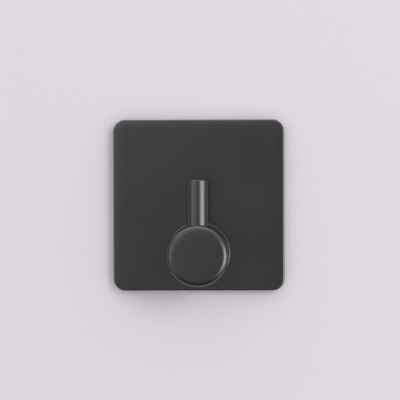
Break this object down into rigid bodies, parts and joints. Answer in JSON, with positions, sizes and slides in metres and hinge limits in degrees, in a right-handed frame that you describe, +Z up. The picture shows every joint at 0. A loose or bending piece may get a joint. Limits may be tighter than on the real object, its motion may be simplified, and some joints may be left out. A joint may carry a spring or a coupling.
{
  "type": "wall hook",
  "caption": "Stick-on wall hook: square gloss black plate, round arm standing out of its lower half, and an upright peg near the arm's front end that keeps a strap or loop from sliding off.",
  "frame": {"origin": "centre of the back face, where the hook meets the wall", "axes": "+X to the right seen from the front, +Y into the wall, so the front faces -Y, +Z up the wall"},
  "size_m": [0.06, 0.0293, 0.06],
  "materials": {
    "plate_black": "gloss",
    "arm_black": "gloss",
    "screw_zinc": "satin",
    "pad_foam": "matte",
    "liner_film": "satin"
  },
  "bodies": {
    "root": {"base_plate": "plate_black", "hook_arm": "arm_black", "upright_peg": "arm_black", "arm_screw_left": "screw_zinc", "arm_screw_right": "screw_zinc", "adhesive_pad": "pad_foam", "release_liner": "liner_film"}
  },
  "joints": []
}
